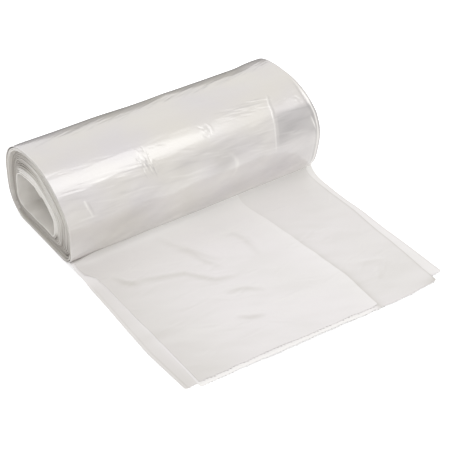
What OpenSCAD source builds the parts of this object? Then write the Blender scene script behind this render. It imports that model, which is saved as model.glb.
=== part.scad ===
// A roll of clear film sacks: one long folded film, wound on itself without a core,
// slumped flat where it lies, with its last sack pulled out flat in front.
// +Z is up, +X runs along the roll, and the loose end points along -Y.
// The origin is the middle of the roll's foot, on the surface that it lies on.

/* [Roll] */
// Width of the folded film, which is the length of the roll
roll_w = 250; // [180:1:400]
// Depth of the slumped roll from front to back
roll_depth = 110; // [100:1:125]
// Number of turns, each standing for several real ones
turns = 10.3; // [7.3:1:12.3]
// Share of the space between two turns that the film fills
film_share = 0.85; // [0.70:0.01:0.90]
// How far the underside is pressed flat by the roll's own weight
foot_press = 3; // [1.5:0.5:5]

/* [Left end] */
// Height of the roll at its left end
left_height = 79; // [72:0.5:90]
// Height of the widest point of the left end
left_belly = 36; // [30:0.5:42]
// Distance of the crest behind the middle of the foot, at the left end
left_crest = 6.5; // [-8:0.5:10]

/* [Right end] */
// Height of the roll at its right end
right_height = 84; // [72:0.5:90]
// Height of the widest point of the right end
right_belly = 44; // [30:0.5:48]
// Distance of the crest behind the middle of the foot, at the right end
right_crest = -5.5; // [-10:0.5:10]

/* [Hollow] */
// Depth of the hollow from front to back
hollow_depth = 62; // [40:1:70]
// Height of the hollow at the left end
hollow_left_h = 36; // [30:0.5:46]
// Height of the hollow at the right end
hollow_right_h = 41; // [30:0.5:48]
// Thickness of the turns that lie under the hollow
hollow_floor = 8.5; // [7:0.1:18]
// How far the hollow lies behind the crest
hollow_back = 14.5; // [0:0.5:18]

/* [Roll ends] */
// How far the inner turns lie inside the outermost one at each end
end_recess = 4; // [0:0.5:8]
// How far single turns wander in and out at the ends
end_wander = 1.2; // [0:0.1:2]

/* [Loose end] */
// Reach of the bottom layer in front of the middle of the foot
bottom_reach = 224; // [120:1:300]
// How much wider the bottom layer gets at each side toward its front edge
bottom_flare = 4; // [0:0.5:8]
// Radius of the bottom layer's front corners
bottom_corner = 5; // [1:0.5:15]
// Reach of the middle layer at its left corner
middle_reach_left = 227.5; // [120:1:300]
// Reach of the middle layer at its right corner
middle_reach_right = 232; // [120:1:300]
// Step from the roll's left end to the middle layer
middle_inset_left = 10; // [4:0.5:25]
// Step from the roll's right end to the middle layer, at the roll
middle_inset_right = 5; // [1:0.5:25]
// Step from the roll's right end to the middle layer, at the front edge
middle_front_inset_right = 9; // [1:0.5:25]
// Reach of the top panel at its left corner
top_reach_left = 221; // [120:1:300]
// Reach of the top panel at its fold line
top_reach_right = 230; // [120:1:300]
// Step from the middle layer's left edge to the top panel, at the roll
top_inset_left = 0.5; // [0.5:0.5:20]
// Step from the middle layer's left edge to the top panel, at the front edge
top_front_inset_left = 1; // [0.5:0.5:20]
// Distance of the fold line from the roll's right end, at the roll
fold_from_right = 80; // [30:1:110]
// Distance of the fold line from the roll's right end, at the front edge
fold_front_from_right = 68; // [30:1:110]
// Radius of the corners of the middle layer and the top panel
upper_corner = 1.5; // [0.5:0.5:10]
// How far the front edges of the upper layers bow out
front_bow = 3; // [0:0.5:10]
// How far the layers reach back under the roll, behind the middle of its foot
lap_back = 14; // [8:1:16]

/* [Hidden] */

// Facets in one turn, and spans along the roll
turn_facets = 44;
spans = 4;
// Straight pieces in a front edge, and in each of its corners
edge_facets = 10;
corner_facets = 5;

// Squareness of the section's corners, where 2 is an ellipse and more is squarer:
// upper front, upper back, lower back, lower front
left_corners = [1.65, 2.8, 2.9, 5];
right_corners = [2, 3, 2.8, 2.8];
hollow_left_corners = [1.3, 3.4, 4, 4.5];
hollow_right_corners = [1.8, 2.4, 2.8, 2.8];

// Share of the hollow's height that lies below its widest point
hollow_low = 0.45;
// Angle round the section at which the outermost turn runs into the flat layers
lap_angle = -98;
// The wound film stays this far inside the flat layers that it runs into
lap_cover = 0.05;
// Turns over which the outermost edge comes out of line with the inner ones
recess_turns = 0.5;
// Degrees by which an end wanders for each turn
wander_step = 133;

// One turn as a share of the way from the hollow to the outside
pitch = 1 / (turns + film_share);
rings = round(turns * turn_facets);
// The loose end is as thick as the wound film that runs into it
layers = 3;
loose_t = film_share * pitch * (hollow_floor - lap_cover) + 2 * lap_cover;
layer_t = loose_t / layers;

function mix(a, b, k) = a + (b - a) * k;
function clamp(v, low, high) = min(max(v, low), high);
function signed_pow(v, e) = sign(v) * pow(abs(v), e);

// Which of the four corners an angle lies in
function quarter(c, s) = c < 0 ? (s < 0 ? 3 : 0) : (s < 0 ? 2 : 1);

// A point of a slumped outline [y, z]: rounded corners, and a flat bottom at floor_z
function outline(angle, front, back, crest, belly, top, floor_z, corners) =
    let (
        c = cos(angle),
        s = sin(angle),
        n = corners[quarter(c, s)],
        reach = c < 0 ? crest - front : back - crest,
        rise = s < 0 ? belly - floor_z + foot_press : top - belly
    )
    [crest + reach * signed_pow(c, 2 / n),
     max(belly + rise * signed_pow(s, 2 / n), floor_z)];

// The hollow's outline, at the share k of the roll's length from left to right
function hollow_crest(k) = mix(left_crest, right_crest, k) + hollow_back;
function hollow_top(k) = hollow_floor + mix(hollow_left_h, hollow_right_h, k);
function inside(angle, k) = outline(
    angle, hollow_crest(k) - hollow_depth / 2, hollow_crest(k) + hollow_depth / 2,
    hollow_crest(k), mix(hollow_floor, hollow_top(k), hollow_low), hollow_top(k),
    hollow_floor, mix(hollow_left_corners, hollow_right_corners, k));

// The outermost turn passes each angle a little before the end of the film, so the outline
// at the film's end lies that much further out than the roll's stated sizes
function level_at(angle) = 1 - pitch * (angle - lap_angle) / 360;
function run_out(inner, outer, angle) = inner + (outer - inner) / level_at(angle);

// The roll's outside at the film's end
function outside(angle, k) =
    let (
        crest = mix(left_crest, right_crest, k),
        hollow_mid = hollow_crest(k),
        front = run_out(hollow_mid - hollow_depth / 2, crest - roll_depth / 2, 180),
        back = run_out(hollow_mid + hollow_depth / 2, crest + roll_depth / 2, 0),
        top = run_out(hollow_top(k), mix(left_height, right_height, k), 90)
    )
    outline(
        angle, front, back, crest, mix(left_belly, right_belly, k), top, lap_cover,
        mix(left_corners, right_corners, k));

// How far an end lies inside the outermost edge, at the turn s counted from the hollow
function end_inset(s) = clamp((turns - 1 - s) / recess_turns, 0, 1)
    * (end_recess + end_wander * sin(wander_step * s));

// One corner of the film's section: ring i counts from the loose end inward,
// j is the station along the roll, and depth is 0 on the inner face and 1 on the outer one
function film_point(i, j, depth) =
    let (
        s = turns - i / turn_facets,
        angle = lap_angle + 360 * i / turn_facets,
        level = (s + film_share * depth) * pitch,
        k = j / spans,
        half = roll_w / 2 - lap_cover - end_inset(s),
        yz = mix(inside(angle, k), outside(angle, k), level)
    )
    [mix(-half, half, k), yz[0], yz[1]];

// Each ring of points goes along the inner face and back along the outer one
ring_points = 2 * (spans + 1);
function ring(i) = [
    for (m = [0 : ring_points - 1])
        m <= spans ? film_point(i, m, 0) : film_point(i, ring_points - 1 - m, 1)
];

// The film, wound from the hollow out to where it lies on the surface
module wound_film() {
    points = [for (i = [0 : rings]) each ring(i)];
    sides = [
        for (i = [0 : rings - 1], m = [0 : ring_points - 1])
            let (a = i * ring_points + m, b = i * ring_points + (m + 1) % ring_points)
            each [[a, b + ring_points, b], [a, a + ring_points, b + ring_points]]
    ];
    last = rings * ring_points;
    caps = [
        for (j = [0 : spans - 1])
            let (a = j, b = j + 1, c = ring_points - 2 - j, d = ring_points - 1 - j)
            each [[a, b, c], [a, c, d], [last + a, last + c, last + b], [last + a, last + d, last + c]]
    ];
    polyhedron(points = points, faces = concat(sides, caps), convexity = 10);
}

// How much a corner of radius r takes off the front edge, at the distance d from the side
function corner_cut(d, r) = d >= r ? 0 : r - sqrt(r * r - (r - d) * (r - d));

// A flat layer of the loose end, thick from the surface up, so that each upper one
// lies on the one below and drops to the surface in front of it
module film_layer(back, front, reach, bow, corner, top) {
    width = front[1] - front[0];
    corner_steps = [for (a = [0 : corner_facets]) corner * (1 - cos(90 * a / corner_facets))];
    middle_steps = [for (a = [1 : edge_facets - 1]) mix(corner, width - corner, a / edge_facets)];
    across = concat(
        corner_steps, middle_steps, [for (a = [corner_facets : -1 : 0]) width - corner_steps[a]]);
    front_edge = [
        for (x = across)
            let (k = x / width)
            [front[0] + x,
             corner_cut(min(x, width - x), corner) - mix(reach[0], reach[1], k) - bow * sin(180 * k)]
    ];
    linear_extrude(height = top)
        polygon(concat([[back[1], lap_back], [back[0], lap_back]], front_edge));
}

module loose_end() {
    side = roll_w / 2;
    flared = side + bottom_flare;
    middle_left = middle_inset_left - side;
    film_layer(
        [-side, side], [-flared, flared],
        [bottom_reach, bottom_reach], 0, bottom_corner, layer_t);
    film_layer(
        [middle_left, side - middle_inset_right], [middle_left, side - middle_front_inset_right],
        [middle_reach_left, middle_reach_right], front_bow, upper_corner, 2 * layer_t);
    film_layer(
        [middle_left + top_inset_left, side - fold_from_right],
        [middle_left + top_front_inset_left, side - fold_front_from_right],
        [top_reach_left, top_reach_right], front_bow, upper_corner, layers * layer_t);
}

module bag_roll() {
    color([0.90, 0.89, 0.87])
        union() {
            wound_film();
            loose_end();
        }
}

bag_roll();
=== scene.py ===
# %% [markdown]
# # A roll of clear film sacks
# This roll is one long tube of thin polyethylene film, folded lengthwise and wound on itself.
# It has no core, so it slumps under its own weight. The last sack is pulled out flat in front.
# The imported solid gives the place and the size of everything. The pieces made here lie over it
# and add what a solid can't show: thin turns, creases, soft ripples and the gloss of film.

# %% Load the frame
import math

import bpy
import numpy as np
from mathutils import Matrix, Vector


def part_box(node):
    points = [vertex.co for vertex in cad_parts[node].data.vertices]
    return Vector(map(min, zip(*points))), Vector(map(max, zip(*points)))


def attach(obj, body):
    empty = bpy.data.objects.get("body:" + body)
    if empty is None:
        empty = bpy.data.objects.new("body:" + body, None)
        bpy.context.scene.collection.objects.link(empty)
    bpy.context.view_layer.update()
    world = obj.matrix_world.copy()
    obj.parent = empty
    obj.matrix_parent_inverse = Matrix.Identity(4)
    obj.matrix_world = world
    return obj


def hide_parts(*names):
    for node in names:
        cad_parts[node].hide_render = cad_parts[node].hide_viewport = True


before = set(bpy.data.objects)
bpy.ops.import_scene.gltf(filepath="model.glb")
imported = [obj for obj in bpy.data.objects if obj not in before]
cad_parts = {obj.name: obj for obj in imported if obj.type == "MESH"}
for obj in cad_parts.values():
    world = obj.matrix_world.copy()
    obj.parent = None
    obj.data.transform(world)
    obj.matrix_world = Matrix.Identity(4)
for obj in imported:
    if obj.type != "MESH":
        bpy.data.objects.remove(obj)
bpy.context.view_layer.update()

# %% [markdown]
# ## Camera
# The photograph was taken from the front left, looking down at about 37 degrees, with a long
# lens, so the edges of the roll hardly converge. The place of the camera was worked out from
# the corners of the roll and of the loose end. A camera can be turned with angles or be given
# three axes. The axes are used here, because they say directly what is level and what is up.

# %% Camera
CAMERA_PLACE = Vector((-0.6037, -0.9685, 0.8310))
CAMERA_TURN = math.radians(-34.54)
CAMERA_DOWN = math.radians(37.29)
LENS_MM = 126.4
SENSOR_MM = 36


def set_axes(thing, place, right, up):
    """Put an object at a place, with its own X to the right and its own Y up."""
    back = right.cross(up)
    thing.matrix_world = Matrix.Translation(place) @ Matrix((right, up, back)).transposed().to_4x4()


ahead = Vector((
    -math.sin(CAMERA_TURN) * math.cos(CAMERA_DOWN),
    math.cos(CAMERA_TURN) * math.cos(CAMERA_DOWN),
    -math.sin(CAMERA_DOWN)))
level = Vector((math.cos(CAMERA_TURN), math.sin(CAMERA_TURN), 0))
camera_data = bpy.data.cameras.new("photo_camera")
camera_data.lens = LENS_MM
camera_data.sensor_width = SENSOR_MM
camera_data.clip_start = 0.01
camera = bpy.data.objects.new("photo_camera", camera_data)
set_axes(camera, CAMERA_PLACE, level, level.cross(ahead))
bpy.context.collection.objects.link(camera)
bpy.context.scene.camera = camera
bpy.context.scene.view_settings.view_transform = "Standard"
print("camera looks along", [round(c, 3) for c in ahead])

# %% [markdown]
# ## Helpers for nodes and colours
# Colours are written as the hex values that a picture program shows, and one function turns
# them to the linear values that the renderer works with. Materials and geometry trees are both
# built from nodes, so one small function adds a node, sets it and joins its inputs. A Number
# stands for a number that a tree works out. A sum with it is written like any other sum, and
# each sign in it becomes a math node.

# %% Node and colour helpers
def linear(hex_colour):
    """Turn an sRGB hex colour to linear red, green, blue and alpha."""
    parts = [int(hex_colour[i:i + 2], 16) / 255 for i in (1, 3, 5)]
    return [p / 12.92 if p <= 0.04045 else ((p + 0.055) / 1.055) ** 2.4 for p in parts] + [1]


def add(tree, kind, inputs=(), **settings):
    """Add a node with its settings.

    inputs gives each socket a value, the output of another node or a Number.
    """
    node = tree.nodes.new(kind)
    for name, value in settings.items():
        setattr(node, name, value)
    for key, value in dict(inputs).items():
        value = getattr(value, "socket", value)
        if isinstance(value, bpy.types.NodeSocket):
            tree.links.new(value, node.inputs[key])
        else:
            node.inputs[key].default_value = value
    return node


class Number:
    """A number that a tree works out."""

    def __init__(self, socket):
        self.socket = socket

    def __add__(self, other):
        return calc("ADD", self, other)

    def __sub__(self, other):
        return calc("SUBTRACT", self, other)

    def __rsub__(self, other):
        return calc("SUBTRACT", other, self)

    def __mul__(self, other):
        return calc("MULTIPLY", self, other)

    def __truediv__(self, other):
        return calc("DIVIDE", self, other)

    def __pow__(self, other):
        return calc("POWER", self, other)


def calc(operation, *values):
    """What a math node makes of its values, of which one at least is a Number."""
    tree = next(value.socket.id_data for value in values if isinstance(value, Number))
    node = add(tree, "ShaderNodeMath", dict(enumerate(values)), operation=operation)
    return Number(node.outputs[0])


def rise(value, start, end):
    """A Number that is 0 before start and 1 after end, with a smooth rise between them."""
    node = add(value.socket.id_data, "ShaderNodeMapRange",
               {"Value": value, "From Min": start, "From Max": end}, interpolation_type="SMOOTHSTEP")
    return Number(node.outputs[0])


def new_material(name):
    """An empty material and its node tree."""
    material = bpy.data.materials.new(name)
    material.use_nodes = True
    material.node_tree.nodes.clear()
    return material, material.node_tree


def seen_directly(tree):
    """1 for the rays that show a surface as a background: from the camera, a mirror or glass."""
    rays = add(tree, "ShaderNodeLightPath").outputs
    direct = calc("MAXIMUM", Number(rays["Is Camera Ray"]), rays["Is Glossy Ray"])
    return calc("MAXIMUM", direct, rays["Is Transmission Ray"])


print("white is", linear("#FFFFFF")[:3])

# %% [markdown]
# ## Light and floor
# The long bright band on the roll is the mirror image of a lamp. Each point of the roll mirrors
# the light only where its slope is right, so the band's two edges tell how large the lamp is and
# where it hangs: a round softbox with a brighter heart, a little in front of the roll and to its
# right. The rest of the light is a bright ceiling that gets dimmer toward the walls. The floor is
# a matt white sheet that keeps the soft shadow of the roll.

# %% Light and floor
# Lamps: the direction in which each hangs, its width in metres and how bright its face is.
# Both hang at the same distance, in metres.
SOFTBOX_DISTANCE = 1.2
SOFTBOX_TOWARD = Vector((0.19, -0.18, 0.965)).normalized()
SOFTBOX_ACROSS = 0.72
SOFTBOX_RADIANCE = 0.75
SOFTBOX_HEART_TOWARD = Vector((0.14, -0.19, 0.97)).normalized()
SOFTBOX_HEART_ACROSS = 0.60
SOFTBOX_HEART_RADIANCE = 1.25
WALL_STRENGTH = 0.85
CEILING_STRENGTH = 0.92
# The steepness of a ray, as the height of its direction, where the walls end and the ceiling starts.
WALL_TOP, CEILING_START = 0.2, 0.8
FLOOR_LIFT = 0.4
FLOOR_SIZE = 8
# The floor lies a hair under the film, so that the two never fight for the same place.
FLOOR_DROP = 0.0001
CARD_STRENGTH = 0.06
CARD_CORNERS = [
    (-0.085, 0.07, 0.001), (1.2, 0.07, 0.001), (1.2, 0.58, 0.256), (0.2, 0.58, 0.256),
    (-0.085, 0.17, 0.051)]


def hang_lamp(name, toward, distance, across, radiance):
    """A round area lamp that faces the middle of the roll's foot."""
    data = bpy.data.lights.new(name, "AREA")
    data.shape = "DISK"
    data.size = across
    data.energy = radiance * math.pi * math.pi * (across / 2) ** 2
    lamp = bpy.data.objects.new(name, data)
    right = (Vector((1, 0, 0)) - toward.x * toward).normalized()
    set_axes(lamp, toward * distance, right, toward.cross(right))
    bpy.context.collection.objects.link(lamp)
    return lamp


hang_lamp("softbox", SOFTBOX_TOWARD, SOFTBOX_DISTANCE, SOFTBOX_ACROSS, SOFTBOX_RADIANCE)
hang_lamp("softbox_heart", SOFTBOX_HEART_TOWARD, SOFTBOX_DISTANCE, SOFTBOX_HEART_ACROSS,
          SOFTBOX_HEART_RADIANCE)

world = bpy.context.scene.world or bpy.data.worlds.new("studio")
bpy.context.scene.world = world
world.use_nodes = True
sky = world.node_tree
sky.nodes.clear()
direction = add(sky, "ShaderNodeTexCoord").outputs["Generated"]
height = add(sky, "ShaderNodeSeparateXYZ", {0: direction}).outputs["Z"]
room = add(sky, "ShaderNodeMapRange",
           {"Value": height, "From Min": WALL_TOP, "From Max": CEILING_START,
            "To Min": WALL_STRENGTH, "To Max": CEILING_STRENGTH}, interpolation_type="SMOOTHSTEP")
strength = add(sky, "ShaderNodeMix", {"Factor": seen_directly(sky), "A": room.outputs[0], "B": 1.0})
backdrop = add(sky, "ShaderNodeBackground",
               {"Color": linear("#FFFFFF"), "Strength": strength.outputs["Result"]})
add(sky, "ShaderNodeOutputWorld", {"Surface": backdrop.outputs[0]})


def flat_stage(name, corners, material):
    """A flat stage piece from its corners, in metres."""
    mesh = bpy.data.meshes.new(name)
    mesh.from_pydata(corners, [], [tuple(range(len(corners)))])
    mesh.materials.append(material)
    thing = bpy.data.objects.new(name, mesh)
    bpy.context.collection.objects.link(thing)
    return thing


far = FLOOR_SIZE / 2
floor_paint, tree = new_material("matt_white_floor")
paint = add(tree, "ShaderNodeBsdfDiffuse", {"Color": linear("#FCFCFC")})
lift = seen_directly(tree) * FLOOR_LIFT
glow = add(tree, "ShaderNodeEmission", {"Color": linear("#FFFFFF"), "Strength": lift})
both = add(tree, "ShaderNodeAddShader", {0: paint.outputs[0], 1: glow.outputs[0]})
add(tree, "ShaderNodeOutputMaterial", {"Surface": both.outputs[0]})
flat_stage("floor", [(-far, -far, -FLOOR_DROP), (far, -far, -FLOOR_DROP), (far, far, -FLOOR_DROP),
                     (-far, far, -FLOOR_DROP)], floor_paint)

# A grey card behind the roll, which only mirrors see: it draws the thin dark line along the top
# edge of clear film that photographers want against a white background.
card_paint, tree = new_material("grey_card")
dim = add(tree, "ShaderNodeEmission", {"Color": linear("#FFFFFF"), "Strength": CARD_STRENGTH})
add(tree, "ShaderNodeOutputMaterial", {"Surface": dim.outputs[0]})
card = flat_stage("grey_card", CARD_CORNERS, card_paint)
card.visible_camera = card.visible_diffuse = card.visible_shadow = False
card.visible_transmission = False
print("softbox", SOFTBOX_ACROSS, "m across, at", SOFTBOX_DISTANCE, "m")

# %% [markdown]
# ## The film's materials
# Low-density polyethylene film is blown as a tube, which leaves it smooth and glossy. One layer
# is nearly clear, but many layers with air between them scatter light and look milky. So the
# wound roll is a pale, slightly warm grey with lilac patches. It mirrors more than one sheet
# would, because every layer sends back a reflection of its own: the top one is sharp, which the
# coat stands for, and the ones under it are blurred, which the base stands for.

# %% Film materials
FILM_IOR, COAT_IOR, COAT_ROUGHNESS = 1.51, 1.6, 0.09


def film(name, tones, tone_size, roughness, coat, grain_size, grain_height, blends=(), streak=1):
    """Milky film: two tones mixed by noise, gloss that varies a little, and a fine crinkle.

    Each of blends is (attribute, colour): the attribute, from 0 to 1, mixes in that colour.
    streak is how many times longer the crinkles are along the roll than round it.
    """
    material, tree = new_material(name)
    place = add(tree, "ShaderNodeTexCoord").outputs["Object"]
    clouds = add(tree, "ShaderNodeTexNoise",
                 {"Vector": place, "Scale": 1 / tone_size, "Detail": 2.0, "Roughness": 0.5}).outputs[0]
    spread = rise(Number(clouds), 0.25, 0.75)
    tone = add(tree, "ShaderNodeMix", {0: spread, 6: linear(tones[0]), 7: linear(tones[1])},
               data_type="RGBA").outputs[2]
    for attribute, colour in blends:
        share = add(tree, "ShaderNodeAttribute", attribute_name=attribute).outputs["Fac"]
        tone = add(tree, "ShaderNodeMix", {0: share, 6: tone, 7: linear(colour)},
                   data_type="RGBA").outputs[2]
    gloss = add(tree, "ShaderNodeMapRange",
                {"Value": clouds, "From Min": 0.3, "From Max": 0.7,
                 "To Min": roughness[0], "To Max": roughness[1]}).outputs[0]
    drawn_out = add(tree, "ShaderNodeVectorMath", {0: place, 1: (1 / streak, 1, 1)},
                    operation="MULTIPLY").outputs[0]
    grain = add(tree, "ShaderNodeTexNoise",
                {"Vector": drawn_out, "Scale": 1 / grain_size, "Detail": 3.0, "Roughness": 0.5}).outputs[0]
    crinkle = add(tree, "ShaderNodeBump",
                  {"Height": grain, "Strength": 1.0, "Distance": grain_height}).outputs[0]
    skin = add(tree, "ShaderNodeBsdfPrincipled",
               {"Base Color": tone, "Roughness": gloss, "IOR": FILM_IOR,
                "Specular IOR Level": 0.5 + 0.5 * coat, "Coat Weight": float(coat),
                "Coat Roughness": COAT_ROUGHNESS, "Coat IOR": COAT_IOR,
                "Normal": crinkle, "Coat Normal": crinkle})
    add(tree, "ShaderNodeOutputMaterial", {"Surface": skin.outputs[0]})
    return material


MM = 0.001
# Film wound under tension: smooth, so its reflections stay sharp enough to show every crease.
# Its shade and pale attributes mix in painted shade and painted light, and a little tone that
# differs at random.
wound_film_skin = film(
    "blown_film_wound", ("#D5D0C8", "#CFCACB"), 60 * MM, (0.28, 0.36), 1, 3.2 * MM, 0.035 * MM,
    (("shade", "#A8A4A3"), ("pale", "#F4F1EC")), streak=9)
# The cut ends of the turns: each edge is sharp, and the shade and tone attributes mix in painted
# shade and painted light, besides paler stripes at random.
turn_edge_skin = film(
    "blown_film_turns", ("#CFCBC3", "#C6C2BC"), 30 * MM, (0.3, 0.4), 0, 6 * MM, 0.05 * MM,
    (("shade", "#98918A"), ("tone", "#F8F5F0")))
# Loose film that has been pulled off the roll: its fine crinkles scatter the light. Its shade and
# pale attributes mix in painted shade and painted light, and some darker and paler edges.
loose_film_skin = film(
    "blown_film_loose", ("#EAE6E6", "#E6E3E1"), 80 * MM, (0.3, 0.45), 0, 14 * MM, 0.1 * MM,
    (("shade", "#CBC7C1"), ("pale", "#F6F4F1")))
print("materials:", [m.name for m in (wound_film_skin, turn_edge_skin, loose_film_skin)])

# %% [markdown]
# ## The slumped section
# A round roll without a core settles into an egg with a flat foot. Each quarter of the section
# is part of a superellipse, whose exponent says how square that corner is: 2 is an ellipse and
# 5 is nearly a box. The hollow in the middle is the same kind of curve, and every turn between
# them is a blend of the two. The solid has the same outlines and fewer, thicker turns between
# them, so the film lies close to it everywhere.
# Angles are in degrees: 0 is the back, 90 the top and 180 the front.

# %% Section rules, in millimetres
low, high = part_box("bag_roll")
FLARE = 4
ROLL_W = (high.x - low.x) / MM - 2 * FLARE
ROLL_DEPTH = 110
LEFT_END = {"height": 79, "belly": 36, "crest": 6.5, "corners": (1.65, 2.8, 2.9, 5),
            "hollow": 36, "hollow_corners": (1.3, 3.4, 4, 4.5)}
RIGHT_END = {"height": 84, "belly": 44, "crest": -5.5, "corners": (2, 3, 2.8, 2.8),
             "hollow": 41, "hollow_corners": (1.8, 2.4, 2.8, 2.8)}
END_RECESS = 4
HOLLOW_DEPTH = 62
HOLLOW_FLOOR = 8.5
HOLLOW_BACK = 14.5
HOLLOW_LOW = 0.45
FOOT_PRESS = 3
FOOT_COVER = 0.05
LAP_ANGLE = -98
# The turns of the dressed roll, and the share of the space between two turns that film fills.
TURNS = 16.62
FILM_SHARE = 0.88
PITCH = 1 / (TURNS + FILM_SHARE)


def mix(a, b, k):
    return a + (b - a) * k


def outline(angle, front, back, crest, belly, top, floor_z, corners):
    """Points y, z of a slumped outline at the given angles."""
    c, s = np.cos(np.radians(angle)), np.sin(np.radians(angle))
    upper_front, upper_back, lower_back, lower_front = corners
    n = np.where(c < 0, np.where(s < 0, lower_front, upper_front),
                 np.where(s < 0, lower_back, upper_back))
    reach = np.where(c < 0, crest - front, back - crest)
    rise = np.where(s < 0, belly - floor_z + FOOT_PRESS, top - belly)
    y = crest + reach * np.sign(c) * np.abs(c) ** (2 / n)
    z = belly + rise * np.sign(s) * np.abs(s) ** (2 / n)
    return np.array([y, np.maximum(z, floor_z)])


def run_out(inner, outer, angle):
    """Where the film's end would lie, so that the outermost turn passes outer at this angle."""
    return inner + (outer - inner) / (1 - PITCH * (angle - LAP_ANGLE) / 360)


def inside(angle, end):
    """The hollow's outline at one end of the roll."""
    middle = end["crest"] + HOLLOW_BACK
    top = HOLLOW_FLOOR + end["hollow"]
    return outline(
        angle, middle - HOLLOW_DEPTH / 2, middle + HOLLOW_DEPTH / 2, middle,
        mix(HOLLOW_FLOOR, top, HOLLOW_LOW), top, HOLLOW_FLOOR, end["hollow_corners"])


def outside(angle, end):
    """The roll's outline at the film's end, at one end of the roll."""
    middle = end["crest"] + HOLLOW_BACK
    front = run_out(middle - HOLLOW_DEPTH / 2, end["crest"] - ROLL_DEPTH / 2, 180)
    back = run_out(middle + HOLLOW_DEPTH / 2, end["crest"] + ROLL_DEPTH / 2, 0)
    top = run_out(HOLLOW_FLOOR + end["hollow"], end["height"], 90)
    return outline(angle, front, back, end["crest"], end["belly"], top, FOOT_COVER, end["corners"])


def wound_point(angle, k, share):
    """Points y, z of the wound film. k is 0 at the left end and 1 at the right end.

    share is 0 on the hollow and 1 on the outside.
    """
    hollow = mix(inside(angle, LEFT_END), inside(angle, RIGHT_END), k)
    skin = mix(outside(angle, LEFT_END), outside(angle, RIGHT_END), k)
    return mix(hollow, skin, share)


top_share = 1 - PITCH * (90 - LAP_ANGLE) / 360
print("crest heights:", [round(float(wound_point(90, k, top_share)[1]), 1) for k in (0, 1)], "mm")

# %% [markdown]
# ## Meshes, noise and creases
# Most of the film is made as a grid of points that a rule puts in place, because a rule can add
# a crease exactly where it is wanted. Soft noise gives the slow waves of slack film: random
# heights on a coarse grid, joined by smooth curves. A crease is a short ridge along a line.

# %% Mesh, noise and crease helpers
def link_mesh(name, points, faces, material):
    """A smooth named object from points in millimetres."""
    mesh = bpy.data.meshes.new(name)
    mesh.from_pydata((np.asarray(points) * MM).tolist(), [], faces)
    mesh.materials.append(material)
    mesh.shade_smooth()
    piece = bpy.data.objects.new(name, mesh)
    bpy.context.collection.objects.link(piece)
    return piece


def grid_faces(rows, columns):
    """Quads of a grid of points that are listed row by row."""
    return [
        (r * columns + c, r * columns + c + 1, (r + 1) * columns + c + 1, (r + 1) * columns + c)
        for r in range(rows - 1) for c in range(columns - 1)]


def bake_modifiers(piece):
    """Turn a piece with modifiers into a plain mesh."""
    graph = bpy.context.evaluated_depsgraph_get()
    made = bpy.data.meshes.new_from_object(piece.evaluated_get(graph))
    piece.modifiers.clear()
    piece.data = made
    made.name = piece.name
    return piece


COARSE = 4
SHARP_EDGE = math.radians(45)


def closed_film(name, points, wall, material, **marks):
    """A closed film from a grid of points, which lie on the side that is seen.

    The side that is seen keeps every point, and the hidden side each fourth one, so the number
    of rows and of columns is four times something, plus one. marks are numbers for each point.
    """
    rows, columns = points.shape[:2]
    seen_side = np.cross(np.gradient(points, axis=0), np.gradient(points, axis=1))
    seen_side /= np.linalg.norm(seen_side, axis=-1, keepdims=True)
    hidden = (points - seen_side * wall)[::COARSE, ::COARSE]
    first = rows * columns
    faces = [face[::-1] for face in grid_faces(rows, columns)]
    faces += [tuple(first + i for i in face) for face in grid_faces(*hidden.shape[:2])]
    # The rim: each stretch of the fine border meets one step of the coarse border.
    numbers = np.arange(first).reshape(rows, columns)
    coarse = first + np.arange(hidden.shape[0] * hidden.shape[1]).reshape(hidden.shape[:2])
    fine_round = np.concatenate(
        [numbers[0, :-1], numbers[:-1, -1], numbers[-1, :0:-1], numbers[:0:-1, 0], numbers[0, :1]])
    coarse_round = np.concatenate(
        [coarse[0, :-1], coarse[:-1, -1], coarse[-1, :0:-1], coarse[:0:-1, 0], coarse[0, :1]])
    for i in range(len(coarse_round) - 1):
        stretch = fine_round[COARSE * i:COARSE * (i + 1) + 1]
        faces.append((*stretch.tolist(), int(coarse_round[i + 1]), int(coarse_round[i])))
    piece = link_mesh(name, np.concatenate([points.reshape(-1, 3), hidden.reshape(-1, 3)]), faces, material)
    piece.data.set_sharp_from_angle(angle=SHARP_EDGE)
    for mark, values in marks.items():
        attribute = piece.data.attributes.new(mark, "FLOAT", "POINT")
        both = np.concatenate([values.ravel(), values[::COARSE, ::COARSE].ravel()])
        attribute.data.foreach_set("value", both.astype(np.float32))
    return piece


def uneven_steps(start, end, count, dense):
    """Steps from start to end that lie closer together round some places.

    Each of dense is (middle, half width, how much denser).
    """
    t = np.linspace(start, end, 4000)
    weight = 1 + sum(extra * np.exp(-((t - middle) / half) ** 4) for middle, half, extra in dense)
    total = np.concatenate([[0], np.cumsum((weight[1:] + weight[:-1]) / 2)])
    return np.interp(np.linspace(0, total[-1], count), total, t)


def soft_step(value, start, end):
    """0 before start, 1 after end, and a smooth rise between them."""
    t = np.clip((value - start) / (end - start), 0, 1)
    return t * t * (3 - 2 * t)


def plateau(value, start, top_start, top_end, end):
    """0 outside start and end, 1 between top_start and top_end, and smooth slopes between them."""
    return soft_step(value, start, top_start) * (1 - soft_step(value, top_end, end))


def bump(value, middle, half):
    """1 at the middle, about a third at the distance half from it, and nothing far from it."""
    return np.exp(-((value - middle) / half) ** 2)


def soft_noise(u, v, seed):
    """Smooth random waves between -1 and 1, one unit apart."""
    cells = 64
    heights = np.random.default_rng(seed).uniform(-1, 1, (cells, cells))
    column, row = np.floor(u).astype(int), np.floor(v).astype(int)
    fu, fv = soft_step(u - column, 0, 1), soft_step(v - row, 0, 1)

    def at(i, j):
        return heights[(row + j) % cells, (column + i) % cells]

    return mix(mix(at(0, 0), at(1, 0), fu), mix(at(0, 1), at(1, 1), fu), fv)


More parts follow.
